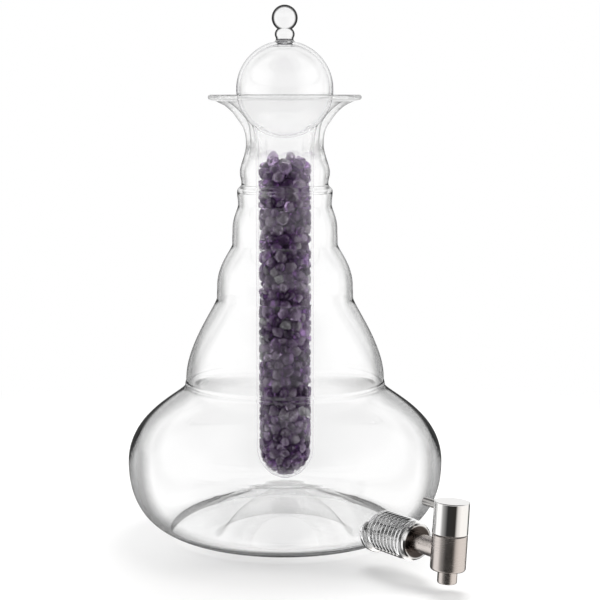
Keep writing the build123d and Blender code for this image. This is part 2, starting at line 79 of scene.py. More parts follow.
RIM_WIDTH, RIM_GAP = 1.6, 1.0
# The rim's bead: distance from the outlet's end and height above the sleeve
RIM_BEAD = ((-2.2, 0.4), (-1.7, 0.9), (-1.2, 1.15), (-0.5, 1.1), (-0.15, 0.75), (0.0, 0.2))

# Fineness: points along each curve, and segments round each body of revolution
WAIST_STEPS, TUCK_STEPS, FOOT_STEPS, PUNT_STEPS, LIP_STEPS = 28, 14, 40, 32, 16
EASE_SAMPLES, EASE_KEEP = 900, 3
KNOB_STEPS, BEAD_STEPS, THROAT_STEPS, BALL_STEPS = 40, 20, 12, 80
TUBE_STEPS, ROUND_STEPS, COLLAR_STEPS = 24, 32, 7
LATHE_SEGMENTS, FLASK_SEGMENTS, BORE_SEGMENTS = 160, 192, 128
SAME_POINT, ON_AXIS = 1e-4, 1e-6
SHARP_ANGLE = radians(40)


# Curves in the section plane, as arrays of radius and height
def point(r, z):
    return np.array((r, z), float)


def bezier(*controls, steps=20):
    """Points along a quadratic or cubic curve, its last point left out"""
    t = np.linspace(0, 1, steps, endpoint=False)[:, None]
    if len(controls) == 3:
        weights = ((1 - t) ** 2, 2 * t * (1 - t), t**2)
    else:
        weights = ((1 - t) ** 3, 3 * t * (1 - t) ** 2, 3 * t**2 * (1 - t), t**3)
    return sum(w * np.asarray(c, float) for w, c in zip(weights, controls))


def arc(centre, radius, start, end, steps):
    """Points on a circle between two angles from the radial direction, the last left out"""
    a = np.linspace(start, end, steps, endpoint=False)
    return np.stack((centre[0] + radius * np.cos(a), centre[1] + radius * np.sin(a)), 1)


def through(first, middle, last, steps):
    """Points on the circle through three points, run clockwise, the last left out"""
    (ax, ay), (bx, by), (cx, cy) = first, middle, last
    d = 2 * (ax * (by - cy) + bx * (cy - ay) + cx * (ay - by))
    a2, b2, c2 = ax**2 + ay**2, bx**2 + by**2, cx**2 + cy**2
    centre = point(
        a2 * (by - cy) + b2 * (cy - ay) + c2 * (ay - by),
        a2 * (cx - bx) + b2 * (ax - cx) + c2 * (bx - ax),
    ) / d
    radius = sqrt((ax - centre[0]) ** 2 + (ay - centre[1]) ** 2)
    angles = [atan2(p[1] - centre[1], p[0] - centre[0]) for p in (first, middle, last)]
    while angles[1] > angles[0]:
        angles[1] -= 2 * pi
    while angles[2] > angles[1]:
        angles[2] -= 2 * pi
    if angles[0] - angles[2] > 2 * pi:
        angles[2] += 2 * pi
    return arc(centre, radius, angles[0], angles[2], steps)


def line(first, last, steps=2):
    return np.linspace(first, last, steps, endpoint=False)


def chain(*runs):
    """One list of points from several runs, without doubled points"""
    points = np.concatenate([np.atleast_2d(run) for run in runs])
    keep = np.ones(len(points), bool)
    keep[1:] = np.linalg.norm(np.diff(points, axis=0), axis=1) > SAME_POINT
    return points[keep]


def waist_at(bell, inset):
    return point(bell.waist_r - inset, bell.waist_z - WAIST_DROP * inset)


def mouth(lip_point, wall, neck_inset):
    """Flare from the lip to the ball's seat and into the neck's waist"""
    lip_way = point(-cos(radians(LIP_FALL)), -sin(radians(LIP_FALL)))
    seat_way = point(cos(SEAT_ANGLE), sin(SEAT_ANGLE))
    reach = BALL_R + REST_GAP + wall
    seat = point(reach * sin(SEAT_ANGLE), BALL_Z - reach * cos(SEAT_ANGLE))
    waist = waist_at(BELLS[0], neck_inset)
    return chain(
        bezier(lip_point, lip_point + lip_way * LIP_RUN, seat + seat_way * SEAT_RUN, seat),
        bezier(seat, seat - seat_way * SEAT_RUN, waist + point(0, BELLS[0].waist_run), waist),
    )


def bells(neck_inset, bell_inset, bulb_inset):
    """The wavy wall from the neck's waist down to the bulb's widest ring, set in from the outside"""
    runs = []
    last = len(BELLS) - 1
    for i, bell in enumerate(BELLS):
        waist = waist_at(bell, neck_inset if i == 0 else bell_inset)
        swell = point(bell.swell_r - (bulb_inset if i == last else bell_inset), bell.swell_z)
        waist_end = waist - point(0, bell.waist_run)
        swell_start = swell + point(0, bell.swell_run)
        runs.append(bezier(waist, waist_end, swell_start, swell, steps=WAIST_STEPS))
        if i < last:
            below = waist_at(BELLS[i + 1], bell_inset)
            half = point(0, (swell[1] - below[1]) / 2)
            runs.append(bezier(swell, swell - half, below + half, below, steps=TUCK_STEPS))
    return chain(*runs)


def foot():
    """The bulb's outside from its widest ring down to the table"""
    widest, contact = point(BULB_R, BULB_Z), point(CONTACT_OUTER_R, 0)
    controls = (widest, widest - point(0, BULB_RUN), contact + point(FOOT_RUN, 0), contact)
    return bezier(*controls, steps=FOOT_STEPS)


def eased(wall, outer):
    """The inner wall with its waves drawn out a little, as in blown glass, not thinner than THIN_WALL"""
    z = np.linspace(wall[0][1], wall[-1][1], EASE_SAMPLES)
    r = np.interp(-z, -wall[:, 1], wall[:, 0])
    reach = int(round(EASE_REACH / abs(z[1] - z[0])))
    weights = np.hanning(2 * reach + 1)
    soft_r = np.convolve(np.pad(r, reach, "edge"), weights / weights.sum(), "valid")
    soft_r = np.minimum(soft_r, np.interp(-z, -outer[:, 1], outer[:, 0]) - THIN_WALL)
    ends = np.minimum(1, np.minimum(z[0] - z, z - z[-1]) / (2 * EASE_REACH))
    return np.stack((r + (soft_r - r) * ends, z), 1)[::EASE_KEEP]


def flask_profile():
    """Section of the flask's glass from the push-up's underside, up outside, over the lip and down inside"""
    lip_top = point(LIP_R - LIP_WALL / 2, LIP_Z)
    lip_under = lip_top - point(0, LIP_WALL)
    lip_centre = point(LIP_R - LIP_WALL / 2, LIP_Z - LIP_WALL / 2)
    heel = point(CONTACT_INNER_R, 0)
    heel_end = heel + point(-HEEL_RUN, HEEL_RISE)
    under = point(0, PUNT_Z - BASE_WALL)
    over = point(0, PUNT_Z)
    valley = point(VALLEY_R, VALLEY_Z)
    valley_rise = valley + point(VALLEY_RISE_RUN, 0)
    inner = point(BULB_R - BULB_WALL, BULB_Z)
    outside = chain(
        mouth(lip_under, SEAT_WALL, 0),
        bells(0, 0, 0),
        foot(),
        line(point(CONTACT_OUTER_R, 0), heel),
        bezier(heel, heel_end, under + point(PUNT_UNDER_RUN, 0), under, steps=PUNT_STEPS),
        under,
    )
    lip = arc(lip_centre, LIP_WALL / 2, -pi / 2, pi / 2, LIP_STEPS)
    floor_side = chain(
        bezier(over, over + point(PUNT_RUN, 0), valley - point(VALLEY_RUN, 0), valley, steps=PUNT_STEPS),
        bezier(valley, valley_rise, inner - point(0, BULB_INNER_RUN), inner, steps=FOOT_STEPS),
    )
    wall = eased(bells(NECK_WALL, BELL_WALL, BULB_WALL), bells(0, 0, 0))
    inside = chain(mouth(lip_top, 0, NECK_WALL), wall, inner, floor_side[::-1])
    return chain(outside[::-1], lip, inside)


# Meshes
def new_mesh(name, verts, faces):
    mesh = bpy.data.meshes.new(name)
    mesh.from_pydata(verts, [], faces)
    mesh.update()
    return mesh


def grid_mesh(name, rows, poles):
    """Closed surface through rings of points, whose ends are single points where poles says so"""
    count = len(rows[0])
    verts, faces, rings = [], [], []
    for i, row in enumerate(rows):
        if (i == 0 and poles[0]) or (i == len(rows) - 1 and poles[1]):
            rings.append([len(verts)] * count)
            verts.append(tuple(row.mean(0)))
        else:
            rings.append(list(range(len(verts), len(verts) + count)))
            verts.extend(map(tuple, row))
    for low, high in zip(rings, rings[1:]):
        for k in range(count):
            n = (k + 1) % count
            face = (low[k], low[n], high[n], high[k])
            faces.append(tuple(dict.fromkeys(face)))
    return new_mesh(name, verts, faces)


def turned(points, segments):
    """Rings of a profile turned about Z, in metres"""
    a = np.linspace(0, 2 * pi, segments, endpoint=False)
    return [np.stack((r * np.cos(a), r * np.sin(a), np.full(segments, z)), 1) * MM for r, z in points]


def lathe(name, points, segments=LATHE_SEGMENTS):
    """Closed body of revolution from a profile that starts and ends on the axis"""
    poles = (points[0][0] < ON_AXIS, points[-1][0] < ON_AXIS)
    return grid_mesh(name, turned(points, segments), poles)


def new_object(name, data):
    obj = bpy.data.objects.new(name, data)
    bpy.context.scene.collection.objects.link(obj)
    return obj


def joined(name, meshes):
    """One mesh from several closed shells"""
    verts, faces = [], []
    for mesh in meshes:
        base = len(verts)
        verts.extend(tuple(v.co) for v in mesh.vertices)
        faces.extend(tuple(base + k for k in p.vertices) for p in mesh.polygons)
        bpy.data.meshes.remove(mesh)
    return new_mesh(name, verts, faces)


def boolean(obj, mesh, operation):
    """Applies one boolean with a mesh that is then removed"""
    tool = new_object("tool", mesh)
    modifier = obj.modifiers.new("cut", "BOOLEAN")
    modifier.operation, modifier.object, modifier.solver = operation, tool, "MANIFOLD"
    applied = bpy.data.meshes.new_from_object(obj.evaluated_get(bpy.context.evaluated_depsgraph_get()))
    obj.modifiers.clear()
    old = obj.data
    obj.data = applied
    bpy.data.meshes.remove(old)
    bpy.data.objects.remove(tool)
    bpy.data.meshes.remove(mesh)


def smooth(mesh, sharp=SHARP_ANGLE):
    mesh.polygons.foreach_set("use_smooth", [True] * len(mesh.polygons))
    mesh.set_sharp_from_angle(angle=sharp)
    mesh.update()


# Outlet: rings about the spout's axis, with a rounded thread that runs as a helix
def spout_rings(stations, segments=LATHE_SEGMENTS):
    """Rings about the spout's axis from (distance, radius, thread height) rows, in metres"""
    a = np.linspace(0, 2 * pi, segments, endpoint=False)
    rows = []
    for u, r, ridge in stations:
        phase = (u - COLLAR_END) / THREAD_PITCH - a / (2 * pi)
        radius = r + ridge * (0.5 - 0.5 * np.cos(2 * pi * phase)) ** THREAD_ROUND
        ring = (radius * np.sin(a), np.full(segments, -u), OUTLET_Z + radius * np.cos(a))
        rows.append(np.stack(ring, 1) * MM)
    return rows


def spout_mesh():
    """Solid of the outlet: sleeve, rounded collar, thread and rim"""
    edge = COLLAR_EDGE
    stations = [(SPOUT_START, 0.0, 0.0), (SPOUT_START, SLEEVE_R, 0.0), (COLLAR_START, SLEEVE_R, 0.0)]
    for u, turn in ((COLLAR_START + edge, -1), (COLLAR_END - edge, 1)):
        for step in np.linspace(0, pi / 2, COLLAR_STEPS):
            swing = step if turn > 0 else pi / 2 - step
            stations.append((u + turn * edge * sin(swing), COLLAR_R - edge * (1 - cos(swing)), 0.0))
    thread_end = OUTLET_END - RIM_WIDTH - RIM_GAP
    for u in np.arange(COLLAR_END + THREAD_LEAD, thread_end, THREAD_STEP):
        grow = min(1.0, (u - COLLAR_END) / THREAD_PITCH, (thread_end - u) / THREAD_PITCH)
        stations.append((u, SLEEVE_R, (THREAD_R - SLEEVE_R) * max(grow, 0.0)))
    for u, r in RIM_BEAD:
        stations.append((OUTLET_END + u, SLEEVE_R + r, 0.0))
    stations.append((OUTLET_END, 0.0, 0.0))
    return grid_mesh("spout", spout_rings(stations), (True, True))


def bore_mesh():
    ends = ((BORE_START, 0.0), (BORE_START, OUTLET_BORE_R), (BORE_END, OUTLET_BORE_R), (BORE_END, 0.0))
    return grid_mesh("bore", spout_rings([(u, r, 0.0) for u, r in ends], BORE_SEGMENTS), (True, True))


def core_mesh(inset=1.5):
    """Space a little inside the bulb's outer surface"""
    wall = chain(bells(0, 0, 0), foot(), point(CONTACT_OUTER_R, 0))
    wall = wall[wall[:, 1] < BELLS[-1].waist_z] - point(inset, 0)
    ends = (point(0, wall[0][1]), point(0, 0))
    return lathe("core", chain(ends[0], wall, ends[1])[::-1])


flask = new_object("flask_glass", lathe("flask_glass", flask_profile(), FLASK_SEGMENTS))
spout = new_object("spout", spout_mesh())
boolean(spout, core_mesh(), "DIFFERENCE")
spout_data = spout.data
bpy.data.objects.remove(spout)
boolean(flask, spout_data, "UNION")
boolean(flask, bore_mesh(), "DIFFERENCE")
smooth(flask.data)


# Vial: knob, ball and tube as one fused glass, with the ball's and the tube's hollows
def vial_outside():
    stem_z = KNOB_Z - sqrt(KNOB_R**2 - KNOB_STEM_R**2)
    foot_z = BALL_Z + sqrt(BALL_R**2 - KNOB_FOOT_R**2)
    joint_z = BALL_Z - sqrt(BALL_R**2 - TUBE_JOINT_R**2)
    round_z = TUBE_BOTTOM_Z + TUBE_R
    stem = point(KNOB_STEM_R, stem_z)
    bead = point(KNOB_BEAD_R, stem_z - KNOB_BEAD_DROP)
    throat = point(KNOB_THROAT_R, stem_z - KNOB_THROAT_DROP)
    knob_foot = point(KNOB_FOOT_R, foot_z)
    joint = point(TUBE_JOINT_R, joint_z)
    flare = point(TUBE_R, joint_z - TUBE_FLARE)
    stem_angle = atan2(stem_z - KNOB_Z, KNOB_STEM_R)
    foot_angle = atan2(foot_z - BALL_Z, KNOB_FOOT_R)
    joint_angle = atan2(joint_z - BALL_Z, TUBE_JOINT_R)
    return chain(
        arc(point(0, KNOB_Z), KNOB_R, pi / 2, stem_angle, KNOB_STEPS),
        through(stem, bead, throat, BEAD_STEPS),
        bezier(throat, (KNOB_THROAT_R, foot_z), knob_foot, steps=THROAT_STEPS),
        arc(point(0, BALL_Z), BALL_R, foot_angle, joint_angle, BALL_STEPS),
        bezier(joint, (TUBE_R, joint_z - TUBE_FLARE / 3), flare, steps=TUBE_STEPS),
        line(flare, point(TUBE_R, round_z), TUBE_STEPS),
        arc(point(0, round_z), TUBE_R, 0, -pi / 2, ROUND_STEPS),
        point(0, TUBE_BOTTOM_Z),
    )


def tube_hollow():
    inner_r = TUBE_R - TUBE_WALL
    joint_r = TUBE_JOINT_R - TUBE_WALL
    joint_z = BALL_Z - sqrt(BALL_R**2 - joint_r**2)
    flare_z = BALL_Z - sqrt(BALL_R**2 - TUBE_JOINT_R**2) - TUBE_FLARE
    round_z = TUBE_BOTTOM_Z + TUBE_R
    joint, flare = point(joint_r, joint_z), point(inner_r, flare_z)
    return chain(
        arc(point(0, BALL_Z), BALL_R, -pi / 2, atan2(joint_z - BALL_Z, joint_r), TUBE_STEPS),
        bezier(joint, (inner_r, flare_z + TUBE_FLARE * 2 / 3), flare, steps=TUBE_STEPS),
        line(flare, point(inner_r, round_z), TUBE_STEPS),
        arc(point(0, round_z), inner_r, 0, -pi / 2, ROUND_STEPS),
        point(0, TUBE_BOTTOM_Z + TUBE_WALL),
    )


def ball_hollow():
    return chain(
        arc(point(0, BALL_Z), BALL_R - BALL_WALL, pi / 2, -pi / 2, BALL_STEPS),
        point(0, BALL_Z - BALL_R + BALL_WALL),
    )


vial = new_object(
    "vial_glass",
    joined("vial_glass", [
        lathe("outside", vial_outside()[::-1]),
        lathe("ball_hollow", ball_hollow()),
        lathe("tube_hollow", tube_hollow()),
    ]),
)
smooth(vial.data)

# Gem chips: spheres settled in the bore, each then grown into the room between its neighbours
FILL_R, FILL_TOP, FILL_SPARE, ROUND_Z = 23.2, 336.0, 6.0, TUBE_BOTTOM_Z + TUBE_R
CHIP_COUNT, CHIP_SMALL, CHIP_LARGE = 900, 3.0, 5.6
SETTLE_STEPS, SETTLE_NEAR = 160, 90
SINK, PUSH_SHARE, PUSH_MOST = 0.08, 0.45, 1.5
# A chip's half axes, and the heights of the flats on it, as shares of its sphere's radius
CHIP_AXES = ((1.35, 1.75), (1.1, 1.35), (0.8, 1.05))
CHIP_FLATS, FLAT_HEIGHTS = 9, (0.72, 1.15)
NEIGHBOUR_REACH, CHIP_GAP, LEAST_HEIGHT, LEAST_SLOPE = 1.8, 0.16, 0.3, 1e-3
FILL_SQUEEZE, CHIP_LEVELS, CHIP_SHARP = 0.2, 2, radians(28)
CLEAR_SHARE = 0.06
NO_LENGTH, SAME_PLACE = 1e-9, 1e-6
rng = np.random.default_rng(7)


def held_in_bore(points, limit):
    """Points drawn in until they are within a limit of the bore's axis or of its round end's centre"""
    middle = np.zeros_like(points)
    middle[:, 2] = np.maximum(points[:, 2], ROUND_Z)
    out = points - middle
    far = np.linalg.norm(out, axis=1) + NO_LENGTH
    return middle + out * np.minimum(1, limit / far)[:, None]


def settle():
    """Centres and radii of spheres that lie on each other in the vial"""
    radii = rng.uniform(CHIP_SMALL, CHIP_LARGE, CHIP_COUNT)
    angle = rng.uniform(0, 2 * pi, CHIP_COUNT)
    reach = np.sqrt(rng.uniform(0, 1, CHIP_COUNT)) * (FILL_R - radii)
    z = np.sort(rng.uniform(TUBE_BOTTOM_Z + TUBE_WALL, FILL_TOP + FILL_SPARE, CHIP_COUNT))
    at = np.stack((reach * np.cos(angle), reach * np.sin(angle), z), 1)
    for _ in range(SETTLE_STEPS):
        order = np.argsort(at[:, 2])
        at, radii = at[order], radii[order]
        at[:, 2] -= SINK
        push = np.zeros_like(at)
        for k in range(1, SETTLE_NEAR):
            gap = at[k:] - at[:-k]
            far = np.linalg.norm(gap, axis=1) + NO_LENGTH
            over = np.maximum(radii[k:] + radii[:-k] - far, 0) * PUSH_SHARE
            shift = gap / far[:, None] * over[:, None]
            push[k:] += shift
            push[:-k] -= shift
        at += np.clip(push, -PUSH_MOST, PUSH_MOST)
        at = held_in_bore(at, FILL_R - radii)
    return at, radii


def sphere_net(levels):
    """Directions and triangles of a finely split icosahedron"""
    g = (1 + sqrt(5)) / 2
    dirs = [(-1, g, 0), (1, g, 0), (-1, -g, 0), (1, -g, 0), (0, -1, g), (0, 1, g),
            (0, -1, -g), (0, 1, -g), (g, 0, -1), (g, 0, 1), (-g, 0, -1), (-g, 0, 1)]
    dirs = [Vector(d).normalized() for d in dirs]
    tris = [(0, 11, 5), (0, 5, 1), (0, 1, 7), (0, 7, 10), (0, 10, 11), (1, 5, 9), (5, 11, 4), (11, 10, 2),
            (10, 7, 6), (7, 1, 8), (3, 9, 4), (3, 4, 2), (3, 2, 6), (3, 6, 8), (3, 8, 9), (4, 9, 5),
            (2, 4, 11), (6, 2, 10), (8, 6, 7), (9, 8, 1)]
    for _ in range(levels):
        mids, split = {}, []
        for tri in tris:
            m = []
            for a, b in zip(tri, tri[1:] + tri[:1]):
                key = (min(a, b), max(a, b))
                if key not in mids:
                    mids[key] = len(dirs)
                    dirs.append((dirs[a] + dirs[b]).normalized())
                m.append(mids[key])
            split += [(tri[0], m[0], m[2]), (tri[1], m[1], m[0]), (tri[2], m[2], m[1]), tuple(m)]
        tris = split
    return np.array(dirs), np.array(tris)


def chip_shapes(at, radii):
    """Rows of chip points: rough stones cut by flats, by planes between neighbours and by the glass"""
    dirs, tris = sphere_net(CHIP_LEVELS)
    shapes = []
    for c, r in zip(at, radii):
        turn = np.array(Matrix.Rotation(rng.uniform(0, 2 * pi), 3, Vector(rng.normal(size=3))))
        axes = r * np.array([rng.uniform(*span) for span in CHIP_AXES])
        reach = 1 / np.linalg.norm((dirs @ turn) / axes, axis=1)
        for _ in range(CHIP_FLATS):
            normal = rng.normal(size=3)
            normal /= np.linalg.norm(normal)
            height = r * rng.uniform(*FLAT_HEIGHTS)
            reach = np.minimum(reach, height / np.maximum(dirs @ normal, LEAST_SLOPE))
        gap = at - c
        far = np.linalg.norm(gap, axis=1)
        for j in np.nonzero((far < (r + radii) * NEIGHBOUR_REACH) & (far > SAME_PLACE))[0]:
            height = (far[j] ** 2 + r**2 - radii[j] ** 2) / (2 * far[j]) - CHIP_GAP / 2
            slope = np.maximum(dirs @ (gap[j] / far[j]), LEAST_SLOPE)
            reach = np.minimum(reach, max(height, LEAST_HEIGHT) / slope)
        shapes.append(held_in_bore(c + dirs * reach[:, None], FILL_R + FILL_SQUEEZE))
    return shapes, tris


def chip_object(name, chosen):
    """One object of the chosen chips, each with its own tone as an attribute"""
    picked = [shape for shape, keep in zip(shapes, chosen) if keep]
    step = len(picked[0])
    faces = np.concatenate([tris + k * step for k in range(len(picked))])
    mesh = bpy.data.meshes.new(name)
    mesh.from_pydata((np.concatenate(picked) * MM).tolist(), [], faces.tolist())
    tone = mesh.attributes.new("tone", "FLOAT", "POINT")
    tone.data.foreach_set("value", np.repeat(tones[chosen], step).astype(np.float32))
    smooth(mesh, CHIP_SHARP)
    return new_object(name, mesh)


centres, sizes = settle()
below_top = centres[:, 2] < FILL_TOP
shapes, tris = chip_shapes(centres[below_top], sizes[below_top])
tones = rng.uniform(0, 1, len(shapes))
is_clear = rng.uniform(0, 1, len(shapes)) < CLEAR_SHARE
purple = chip_object("amethyst_chips", ~is_clear)
clear = chip_object("crystal_chips", is_clear)


# Nodes of materials. A value is a plain one or another node's output
def link(tree, value, socket):
    if isinstance(value, bpy.types.NodeSocket):
        tree.links.new(value, socket)
    else:
        socket.default_value = value


def fill(tree, node, **inputs):
    for name, value in inputs.items():
        link(tree, value, node.inputs[name.replace("_", " ")])


def put(tree, kind, **inputs):
    """New node with some of its inputs set"""
    node = tree.nodes.new(kind)
    fill(tree, node, **inputs)
    return node


def by_order(tree, node, *values):
    """First output of a node whose inputs are set in their order"""
    for value, socket in zip(values, node.inputs):
        link(tree, value, socket)
    return node.outputs[0]


def calc(tree, operation, *values):
    node = tree.nodes.new("ShaderNodeMath")
    node.operation = operation
    return by_order(tree, node, *values)


def shader_mix(tree, share, first, second):
    return by_order(tree, tree.nodes.new("ShaderNodeMixShader"), share, first, second)


def spread(tree, value, source=(0.0, 1.0), target=(0.0, 1.0), kind="LINEAR"):
    """A value taken from one range to another and held within it"""
    node = put(tree, "ShaderNodeMapRange", Value=value, From_Min=source[0], From_Max=source[1],
               To_Min=target[0], To_Max=target[1])
    node.interpolation_type = kind
    return node.outputs["Result"]


def ramp(tree, factor, stops):
    node = put(tree, "ShaderNodeValToRGB", Fac=factor)
    while len(node.color_ramp.elements) < len(stops):
        node.color_ramp.elements.new(1.0)
    for element, (place, colour) in zip(node.color_ramp.elements, stops):
        element.position = place
        element.color = (*colour, 1)
    return node.outputs["Color"]


def mixed(tree, factor, first, second):
    """Colour between two others"""
    node = tree.nodes.new("ShaderNodeMix")
    node.data_type = "RGBA"
    fill(tree, node, Factor=factor)
    for name, value in (("A", first), ("B", second)):
        link(tree, value, next(s for s in node.inputs if s.name == name and s.type == "RGBA"))
    return next(s for s in node.outputs if s.type == "RGBA")


def place_in(tree):
    return tree.nodes.new("ShaderNodeTexCoord").outputs["Object"]


def noise(tree, scale, detail, roughness=0.5, stretch=None):
    """Noise in object space, drawn out along an axis where stretch says so"""
    place = place_in(tree)
    if stretch:
        place = put(tree, "ShaderNodeMapping", Vector=place, Scale=stretch).outputs["Vector"]
    texture = put(tree, "ShaderNodeTexNoise", Vector=place, Scale=scale, Detail=detail, Roughness=roughness)
    return texture.outputs["Fac"]


def turning_lines(tree, stretch):
    return noise(tree, 1.0, detail=3.0, roughness=0.6, stretch=stretch)


def bumped(tree, shader, height, strength, distance):
    bump = put(tree, "ShaderNodeBump", Strength=strength, Distance=distance, Height=height)
    fill(tree, shader, Normal=bump.outputs["Normal"])


def reach_in(tree, scale, location=(0, 0, 0)):
    """Distance from an axis, whose direction has the scale 0"""
    flat = put(tree, "ShaderNodeMapping", Vector=place_in(tree), Location=location, Scale=scale)
    length = tree.nodes.new("ShaderNodeVectorMath")
    length.operation = "LENGTH"
    link(tree, flat.outputs["Vector"], length.inputs[0])
    return length.outputs["Value"]


def grey(value):
    return (value, value, value)


def by_place(tree, stops, of_radius):
    """Grey value along the height, or the reach from the flask's axis, from stops of metres and value"""
    if of_radius:
        way = reach_in(tree, (1, 1, 0))
    else:
        way = put(tree, "ShaderNodeSeparateXYZ", Vector=place_in(tree)).outputs["Z"]
    low, high = stops[0][0], stops[-1][0]
    share = spread(tree, way, (low, high))
    return ramp(tree, share, [((at - low) / (high - low), grey(value)) for at, value in stops])


# Materials. Bump distances and zones are in metres, noise scales in waves per metre
RIPPLE_SCALE, RIPPLE_DEEP = 28.0, 0.001
SHADOW_LET, CLEAR_LET, BLACK_LET, BLACK_SHARE = 0.9, 0.99, 0.08, 0.85
OUTLINE_BAND = (0.7, 0.95)
STONE_INDEX, CLOUD_SCALE, CLOUD_SHARE, CLOUD_RANGE = 1.6, 130.0, 0.5, (0.1, 1.35)
STONE_GLOSS_SCALE, STONE_GLOSS = 420.0, (0.5, 1.6)
STONE_BUMP_SCALE, STONE_BUMP, STONE_DEEP = 300.0, 0.25, 0.001
SMUDGE_SCALE, STEEL_DEEP, POLISHED_BUMP = 60.0, 0.0002, 0.02
ROUND_LINES, ACROSS_LINES, SATIN_LINES = (30.0, 30.0, 900.0), (30.0, 900.0, 30.0), (25.0, 25.0, 2600.0)
FLANGE_ROUGH, DISH_START, DISH_END = 0.12, 12.6, 13.8
SOFT_INDEX, SOFT_DARK, SOFT_SCALE = 1.42, 0.88, 90.0
SOFT_GLOSS_SCALE, SOFT_GLOSS = 500.0, (0.8, 1.2)
SOFT_BUMP_SCALE, SOFT_BUMP, SOFT_DEEP = 900.0, 0.1, 0.0003
# Heights and reaches at which one glass gives way to another
FLARE_FROM, FLARE_OPEN, LIP_FROM, BASE_TO, BASE_REACH = 0.335, 0.352, 0.384, 0.0425, 0.102
TUBE_TO, SEAT_TO, KNOB_FROM, OUTLET_CLEAR = 0.342, 0.386, 0.4375, 0.0004


def material(name):
    """New material with its node tree and its Principled shader"""
    made = bpy.data.materials.new(name)
    made.use_nodes = True
    tree = made.node_tree
    return made, tree, next(n for n in tree.nodes if n.type == "BSDF_PRINCIPLED")


def glass(name, tint, edge, face=(1, 1, 1), density=2.0, ripple=0.0, index=1.5, band=(0.68, 0.88),
          clear=None, of_radius=False, outline=None, black=None):
    """Clear glass with a little ripple and a grey body, that lets lamps through; its colour turns to the
    edge colour edge-on as painted edge shade

    clear is a see-through share by height or radius, outline is how much of it is left edge-on, and black is
    the band of facing over which a painted dark rim sets in.
    """
    made, tree, shader = material(name)
    facing = put(tree, "ShaderNodeLayerWeight", Blend=0.5).outputs["Facing"]
    # Painted edge shade: the base colour goes from the face colour to the darker edge colour as the glass
    # turns edge-on
    rim = ramp(tree, facing, [(0.0, face), (band[0], face), (band[1], edge), (1.0, edge)])
    fill(tree, shader, Base_Color=rim, Roughness=0.0, IOR=index, Transmission_Weight=1.0)
    bumped(tree, shader, noise(tree, RIPPLE_SCALE, detail=1.0), ripple, RIPPLE_DEEP)
    share, let = tree.nodes.new("ShaderNodeLightPath").outputs["Is Shadow Ray"], SHADOW_LET
    if clear:
        open_share = by_place(tree, clear, of_radius)
        if outline:
            kept = spread(tree, facing, OUTLINE_BAND, (1.0, outline))
            open_share = calc(tree, "MULTIPLY", open_share, kept)
        share, let = calc(tree, "MAXIMUM", share, open_share), CLEAR_LET
    # Painted dark rim: a see-through share that lets almost no light pass, growing as the glass turns
    # edge-on
    if black:
        ring = spread(tree, facing, black, (0.0, BLACK_SHARE))
        share, let = calc(tree, "MAXIMUM", share, ring), BLACK_LET
    open_way = put(tree, "ShaderNodeBsdfTransparent", Color=(*grey(let), 1))
    surface = shader_mix(tree, share, shader.outputs[0], open_way.outputs[0])
    volume = put(tree, "ShaderNodeVolumeAbsorption", Color=(*tint, 1), Density=density)
    output = next(n for n in tree.nodes if n.type == "OUTPUT_MATERIAL")
    fill(tree, output, Surface=surface, Volume=volume.outputs[0])
    return made


def gem(name, stops, transmission, rough):
    """Tumbled stone whose colour differs from chip to chip and clouds inside each"""
    made, tree, shader = material(name)
    tone = tree.nodes.new("ShaderNodeAttribute")
    tone.attribute_name = "tone"
    cloud = noise(tree, CLOUD_SCALE, detail=4.0, roughness=0.6)
    shade = calc(tree, "MULTIPLY_ADD", cloud, CLOUD_SHARE, tone.outputs["Fac"])
    gloss = noise(tree, STONE_GLOSS_SCALE, detail=2.0)
    gloss = spread(tree, gloss, target=[rough * share for share in STONE_GLOSS])
    fill(tree, shader, Base_Color=ramp(tree, spread(tree, shade, CLOUD_RANGE), stops), Roughness=gloss,
         IOR=STONE_INDEX, Transmission_Weight=transmission)
    bumped(tree, shader, noise(tree, STONE_BUMP_SCALE, detail=2.0), STONE_BUMP, STONE_DEEP)
    return made


def metal(name, colour, rough, lines, strength):
    """Steel with fine turning lines and smudges in its gloss"""
    made, tree, shader = material(name)
    grain = turning_lines(tree, lines)
    smudged = calc(tree, "MULTIPLY", grain, noise(tree, SMUDGE_SCALE, detail=3.0))
    fill(tree, shader, Base_Color=(*colour, 1), Metallic=1.0, Roughness=spread(tree, smudged, target=rough))
    bumped(tree, shader, grain, strength, STEEL_DEEP)
    return made


def painted_dish_shade(name, bright, dark):
    """Steel flange in its own bright colour at the bevel, with painted shade darkening its dish"""
    made, tree, shader = material(name)
    reach = reach_in(tree, (1, 0, 1), (0, 0, -OUTLET_Z * MM))
    share = spread(tree, reach, (DISH_START * MM, DISH_END * MM))
    # Painted shade: the colour darkens from the bevel into the dish
    colour = ramp(tree, share, [(0.0, dark), (1.0, bright)])
    fill(tree, shader, Base_Color=colour, Metallic=1.0, Roughness=FLANGE_ROUGH)
    bumped(tree, shader, turning_lines(tree, ACROSS_LINES), POLISHED_BUMP, STEEL_DEEP)
    return made


def soft(name, colour, rough, see):
    """Silicone, rubber or plastic with a faint moulded grain"""
    made, tree, shader = material(name)
    dark = tuple(c * SOFT_DARK for c in colour)
    tone = ramp(tree, noise(tree, SOFT_SCALE, detail=2.0), [(0.3, dark), (0.7, colour)])
    gloss = noise(tree, SOFT_GLOSS_SCALE, detail=2.0)
    gloss = spread(tree, gloss, target=[rough * share for share in SOFT_GLOSS])
    fill(tree, shader, Base_Color=tone, Roughness=gloss, Transmission_Weight=see, IOR=SOFT_INDEX)
    bumped(tree, shader, noise(tree, SOFT_BUMP_SCALE, detail=2.0), SOFT_BUMP, SOFT_DEEP)
    return made
